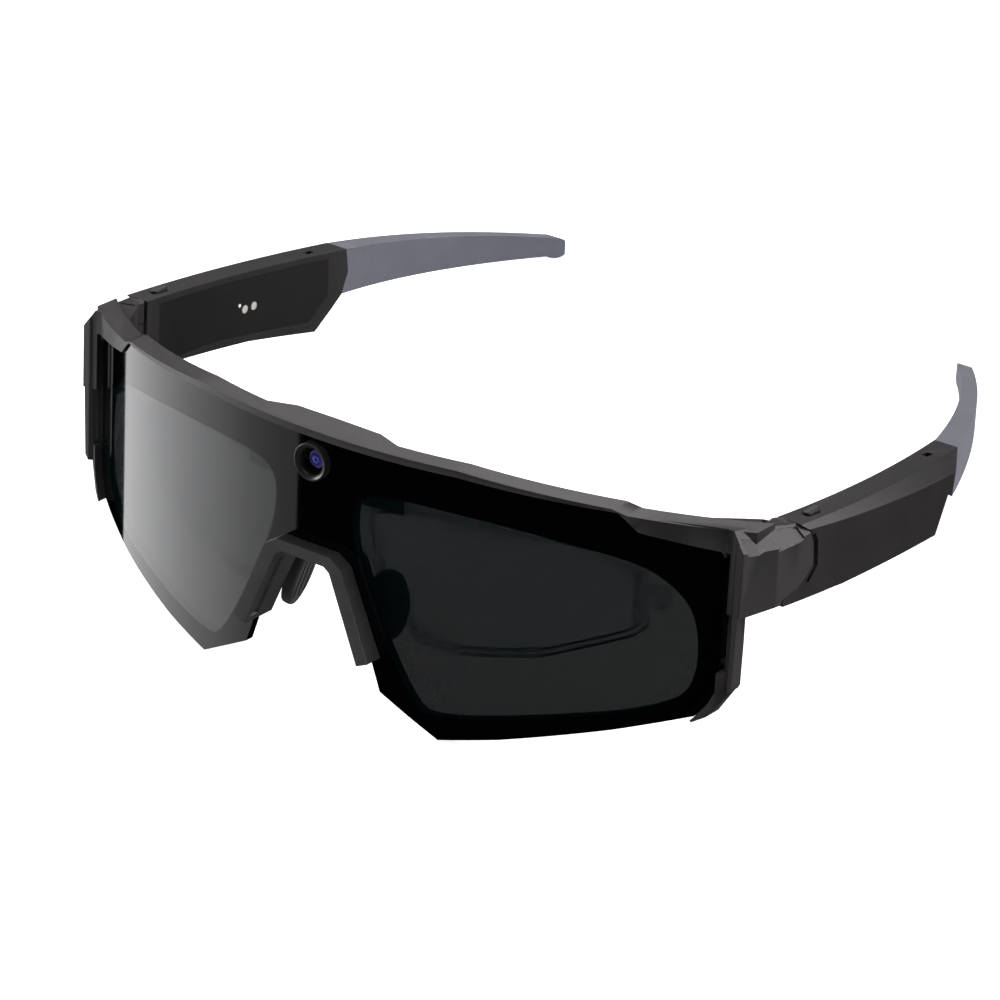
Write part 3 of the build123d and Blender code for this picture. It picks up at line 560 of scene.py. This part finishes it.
def make_camera_optics():
    """A domed, coated lens in a black mouth that narrows to it in fine steps."""
    radius, depth = MOUTH_RADIUS_MM, MOUTH_FRONT_MM
    mouth = [(radius, depth)]
    while radius > LENS_RADIUS_MM + 0.1:
        depth += STEP_DEPTH_MM
        mouth.append((radius, depth))
        radius -= STEP_WIDTH_MM
        mouth.append((radius, depth))
    bore = LENS_RADIUS_MM + LENS_FIT_MM
    mouth += [(bore, depth + 0.3), (bore, MOUTH_REAR_MM), (MOUTH_RADIUS_MM, MOUTH_REAR_MM), mouth[0]]
    lathe("camera_mouth", mouth, inner_black, "camera_barrel")
    lathe("camera_dome", dome(LENS_RADIUS_MM, LENS_TOP_MM, LENS_RISE_MM), lens_painted_reflections, "camera_lens")


# ---------------------------------------------------------------- charging contacts
CONTACTS_MM = (("front", 68.69), ("rear", 71.29))   # name and Y
CONTACT_Z_MM = -7.4
CONTACT_PROFILE_MM = [(0, 0.06), (0.66, 0.06), (0.72, 0.14), (0.80, 0.14), (0.85, 0.06), (0.85, -0.7),
                      (0, -0.7)]
INNER_FACE_MM = 73.5       # how far out the temple's inner face is where it bows most
BOW_Y_MM = 51.99           # where along Y that is
BOW_MM = 562.0             # it comes in by (distance from there) squared over this


def make_contacts():
    """The two turned charging contacts, level with the inner face of the wearer's right temple."""
    for name, y in CONTACTS_MM:
        face = (y - BOW_Y_MM) ** 2 / BOW_MM - INNER_FACE_MM

        def point(side, rise, depth):
            return place(face + depth, y + side, CONTACT_Z_MM + rise)

        lathe("contact_disc_" + name, CONTACT_PROFILE_MM, nickel, "charging_contact_" + name, "temple_right",
              point)


# ---------------------------------------------------------------- stage
CAMERA_MM = (496.0, -629.3, 361.0)
TARGET_MM = (1.1, 55.3, -21.5)
CAMERA_ROLL_DEGREES = -7.03
CAMERA_LENS = 176.9        # focal length in millimetres


def add_camera():
    """A long lens, rolled a little."""
    data = bpy.data.cameras.new("camera")
    data.lens = CAMERA_LENS
    data.clip_start, data.clip_end = 0.05, 20.0
    camera = bpy.data.objects.new("camera", data)
    camera.location = place(*CAMERA_MM)
    camera.rotation_mode = "QUATERNION"
    level = (place(*TARGET_MM) - camera.location).to_track_quat("-Z", "Y")
    camera.rotation_quaternion = level @ Quaternion((0, 0, 1), math.radians(CAMERA_ROLL_DEGREES))
    bpy.context.scene.collection.objects.link(camera)
    bpy.context.scene.camera = camera
    return camera


def add_softbox(name, location, target, size, power, colour=(1, 1, 1)):
    """A rectangular area light that looks at target; size in metres, power in watts."""
    data = bpy.data.lights.new(name, "AREA")
    data.shape = "RECTANGLE"
    data.size, data.size_y = size
    data.energy = power
    data.color = colour
    light = bpy.data.objects.new(name, data)
    light.location = location
    light.rotation_mode = "QUATERNION"
    light.rotation_quaternion = (Vector(target) - Vector(location)).to_track_quat("-Z", "Y")
    bpy.context.scene.collection.objects.link(light)


# The card's brightness as (share of its width, strength)
CARD_LIGHT = [(0.0, 2.15), (0.20, 2.0), (0.34, 1.75), (0.52, 1.35), (0.63, 1.15), (0.78, 0.75), (0.92, 0.55),
              (1.0, 0.5)]
CARD_WARMTH = 0.985        # red and green as a share of blue
CARD_COLUMNS = 14
CARD_FROM_MM = -58.3       # the part of the shield's cylinder that the card is traced from, in X and Z
CARD_TO_MM = -3.9
CARD_Z_MM = (-90, 60)
CARD_REACH_MM = 500.0      # from the shield to the card


def card_mesh(camera):
    """The curved sheet that the wearer's right half of the shield mirrors towards the camera."""
    points, across_card = [], []
    for k in range(CARD_COLUMNS):
        share = k / (CARD_COLUMNS - 1)
        x = CARD_FROM_MM + share * (CARD_TO_MM - CARD_FROM_MM)
        normal = aim(x, wrap_y(x, RADIUS_MM) - RADIUS_MM, 0)
        for z in CARD_Z_MM:
            point = place(x, wrap_y(x, RADIUS_MM), z)
            sight = (point - camera.location).normalized()
            points.append(point + sight.reflect(normal) * CARD_REACH_MM * MM)
            across_card.append((share, z > 0))
    mesh = bpy.data.meshes.new("card")
    mesh.from_pydata(points, [], [(2 * k, 2 * k + 2, 2 * k + 3, 2 * k + 1) for k in range(CARD_COLUMNS - 1)])
    layer = mesh.uv_layers.new(name="across")
    for loop, uv in zip(mesh.loops, layer.data):
        uv.uv = across_card[loop.vertex_index]
    return mesh


def card_light():
    """Light that fades across the card."""
    material = bpy.data.materials.new("card_light")
    material.use_nodes = True
    tree = material.node_tree
    tree.nodes.clear()
    coordinates = tree.nodes.new("ShaderNodeUVMap")
    split = tree.nodes.new("ShaderNodeSeparateXYZ")
    fade = tree.nodes.new("ShaderNodeValToRGB")
    glow = tree.nodes.new("ShaderNodeEmission")
    output = tree.nodes.new("ShaderNodeOutputMaterial")
    top = CARD_LIGHT[0][1]
    while len(fade.color_ramp.elements) < len(CARD_LIGHT):
        fade.color_ramp.elements.new(0.5)
    for element, (position, light) in zip(fade.color_ramp.elements, CARD_LIGHT):
        element.position = position
        element.color = (CARD_WARMTH * light / top, CARD_WARMTH * light / top, light / top, 1)
    glow.inputs["Strength"].default_value = top
    tree.links.new(coordinates.outputs["UV"], split.inputs["Vector"])
    tree.links.new(split.outputs["X"], fade.inputs["Fac"])
    tree.links.new(fade.outputs["Color"], glow.inputs["Color"])
    tree.links.new(glow.outputs["Emission"], output.inputs["Surface"])
    return material


def add_card(camera):
    """The card itself, which only reflections see."""
    mesh = card_mesh(camera)
    mesh.materials.append(card_light())
    card = bpy.data.objects.new("card", mesh)
    bpy.context.scene.collection.objects.link(card)
    for kind in ("camera", "diffuse", "transmission", "shadow", "volume_scatter"):
        setattr(card, "visible_" + kind, False)


FLOOR_GLOW = 0.85
FLOOR_HALF = 3.0           # metres
FLOOR_DROP = 0.0001        # metres below the glasses


def add_floor():
    """A plain white floor that reflections don't see."""
    mesh = bpy.data.meshes.new("floor")
    corners = [(x * FLOOR_HALF, y * FLOOR_HALF, 0) for x, y in ((-1, -1), (1, -1), (1, 1), (-1, 1))]
    mesh.from_pydata(corners, [], [(0, 1, 2, 3)])
    floor = bpy.data.objects.new("floor", mesh)
    floor.location.z = -FLOOR_DROP
    g = Graph("floor_white")
    paper = g.noise(3.0, detail=5.0)
    g.out(Base_Color=g.ramp(paper, [(0.3, (0.86, 0.86, 0.86)), (0.7, (0.88, 0.88, 0.88))]),
          Roughness=g.remap(paper, 0.3, 0.7, 0.85, 0.95))
    g.set(Specular_IOR_Level=0.1, Emission_Color=(1, 1, 1, 1), Emission_Strength=FLOOR_GLOW)
    mesh.materials.append(g.material)
    bpy.context.scene.collection.objects.link(floor)
    floor.visible_glossy = False


WORLD_DIM = 0.10           # strength where it only lights
WORLD_GLOSS = -0.10        # added to that where it is mirrored


def add_world():
    """White where it is seen, dim where it lights and black where it is mirrored."""
    world = bpy.data.worlds.new("studio")
    world.use_nodes = True
    bpy.context.scene.world = world
    tree = world.node_tree
    background = tree.nodes["Background"]
    path = tree.nodes.new("ShaderNodeLightPath")
    strength = tree.nodes.new("ShaderNodeMapRange")
    strength.inputs["To Min"].default_value = WORLD_DIM
    strength.inputs["To Max"].default_value = 1.0
    tree.links.new(path.outputs["Is Camera Ray"], strength.inputs["Value"])
    dark = tree.nodes.new("ShaderNodeMath")
    dark.operation = "MULTIPLY_ADD"
    dark.inputs[1].default_value = WORLD_GLOSS
    tree.links.new(path.outputs["Is Glossy Ray"], dark.inputs[0])
    tree.links.new(strength.outputs["Result"], dark.inputs[2])
    tree.links.new(dark.outputs["Value"], background.inputs["Strength"])
    background.inputs["Color"].default_value = (1, 1, 1, 1)


ROSY = (1.0, 0.97, 0.98)


def add_lights():
    """Soft light from above and behind for the top faces, and a low soft wall at each side."""
    add_softbox("behind", (-0.55, 0.75, 0.75), (0, 0, 0.02), (0.9, 0.5), 9.0, ROSY)
    add_softbox("overhead", (0.1, 0.0, 1.0), (0, 0, 0.02), (0.6, 0.4), 4.0)
    add_softbox("left_side", (0.85, 0.45, 0.10), (0.05, 0.0, 0.02), (0.7, 0.5), 9.0, ROSY)
    add_softbox("right_side", (-0.9, -0.45, 0.12), (-0.05, 0.0, 0.02), (0.3, 0.5), 9.0)


bpy.context.scene.view_settings.view_transform = "Standard"
finish_nodes()
make_shield()
make_camera_optics()
make_contacts()
camera = add_camera()
add_card(camera)
add_floor()
add_world()
add_lights()
